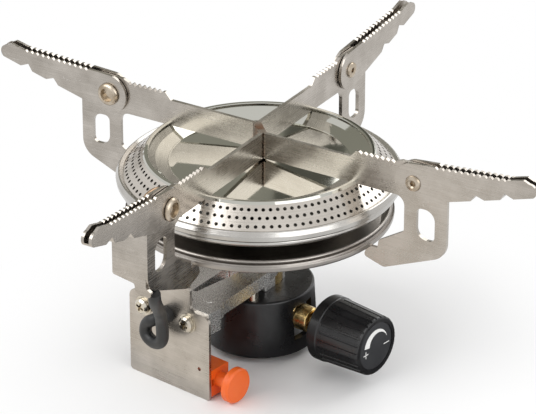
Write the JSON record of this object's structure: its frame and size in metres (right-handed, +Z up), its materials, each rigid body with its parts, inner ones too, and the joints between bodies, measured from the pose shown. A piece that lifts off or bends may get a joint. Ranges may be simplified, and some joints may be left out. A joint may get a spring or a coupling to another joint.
{
  "type": "cartridge-top camping stove",
  "caption": "Screw-on gas camping stove with a round perforated burner head, folding pot arms, side knob and push-button igniter.",
  "frame": {"origin": "on the burner axis, in the plane of the igniter plate's lower edge", "axes": "+Z up along the burner axis; one pot arm along each of +X, +Y, -X and -Y; knob near +X, igniter plate near -Y"},
  "size_m": [0.2424, 0.2422, 0.101],
  "materials": {
    "stainless_sheet": "satin, lightly scratched",
    "arm_sheet": "satin, lightly scratched",
    "polished_steel": "polished",
    "burner_sheet": "satin",
    "rivet_steel": "bright",
    "cast_zinc": "cast, tumbled",
    "brass": "turned",
    "black_plastic": "satin",
    "dial_plastic": "satin",
    "black_rubber": "matt",
    "lead_cover": "satin sleeve",
    "ceramic": "glazed",
    "electrode_steel": "heat tinted",
    "orange_plastic": "satin",
    "spring_steel": "drawn wire"
  },
  "bodies": {
    "stove": {"left_pot_support": "stainless_sheet", "right_pot_support": "stainless_sheet", "pivot_rivets": "rivet_steel", "burner_dish": "polished_steel", "flame_band": "burner_sheet", "burner_bowl": "burner_sheet", "burner_tray": "burner_sheet", "tray_collar": "brass", "mixing_tube": "burner_sheet", "support_frame": "cast_zinc", "frame_posts": "rivet_steel", "valve_cup": "black_plastic", "valve_body": "brass", "cartridge_seal": "black_rubber", "valve_pin": "rivet_steel", "gas_jet": "brass", "jet_filter": "brass", "gland_nut": "brass", "spindle_seal": "black_rubber", "igniter_plate": "stainless_sheet", "plate_screws": "rivet_steel", "screw_washers": "rivet_steel", "lead_grommet": "black_rubber", "ignition_lead": "lead_cover", "ceramic_insulator": "ceramic", "electrode_wire": "electrode_steel", "igniter_housing": "orange_plastic", "igniter_spring": "spring_steel", "piezo_element": "black_plastic"},
    "right_arm": {"right_arm": "arm_sheet"},
    "back_arm": {"back_arm": "arm_sheet"},
    "left_arm": {"left_arm": "arm_sheet"},
    "front_arm": {"front_arm": "arm_sheet"},
    "knob": {"control_knob": "black_plastic", "knob_dial": "dial_plastic", "valve_spindle": "brass"},
    "button": {"igniter_button": "orange_plastic"}
  },
  "joints": [
    {"name": "right_arm_hinge", "type": "hinge", "parent": "stove", "child": "right_arm", "pos_m": [0.07, -0.003, 0.088], "axis": [0, -1, 0], "range_deg": [0, 160]},
    {"name": "back_arm_hinge", "type": "hinge", "parent": "stove", "child": "back_arm", "pos_m": [-0.003, 0.07, 0.088], "axis": [1, 0, 0], "range_deg": [0, 160]},
    {"name": "left_arm_hinge", "type": "hinge", "parent": "stove", "child": "left_arm", "pos_m": [-0.07, 0.003, 0.088], "axis": [0, 1, 0], "range_deg": [0, 160]},
    {"name": "front_arm_hinge", "type": "hinge", "parent": "stove", "child": "front_arm", "pos_m": [0.003, -0.07, 0.088], "axis": [-1, 0, 0], "range_deg": [0, 160]},
    {"name": "knob_turn", "type": "hinge", "parent": "stove", "child": "knob", "pos_m": [0.03956, -0.00591, 0.017], "axis": [0.989, -0.1478, 0], "range_deg": [0, 720]},
    {"name": "button_press", "type": "slide", "parent": "stove", "child": "button", "axis": [-0.989, 0.1478, 0], "range_m": [0, 0.005], "stiffness_N_per_m": 1500, "springref_m": -0.001, "deforming": ["igniter_spring"]}
  ]
}
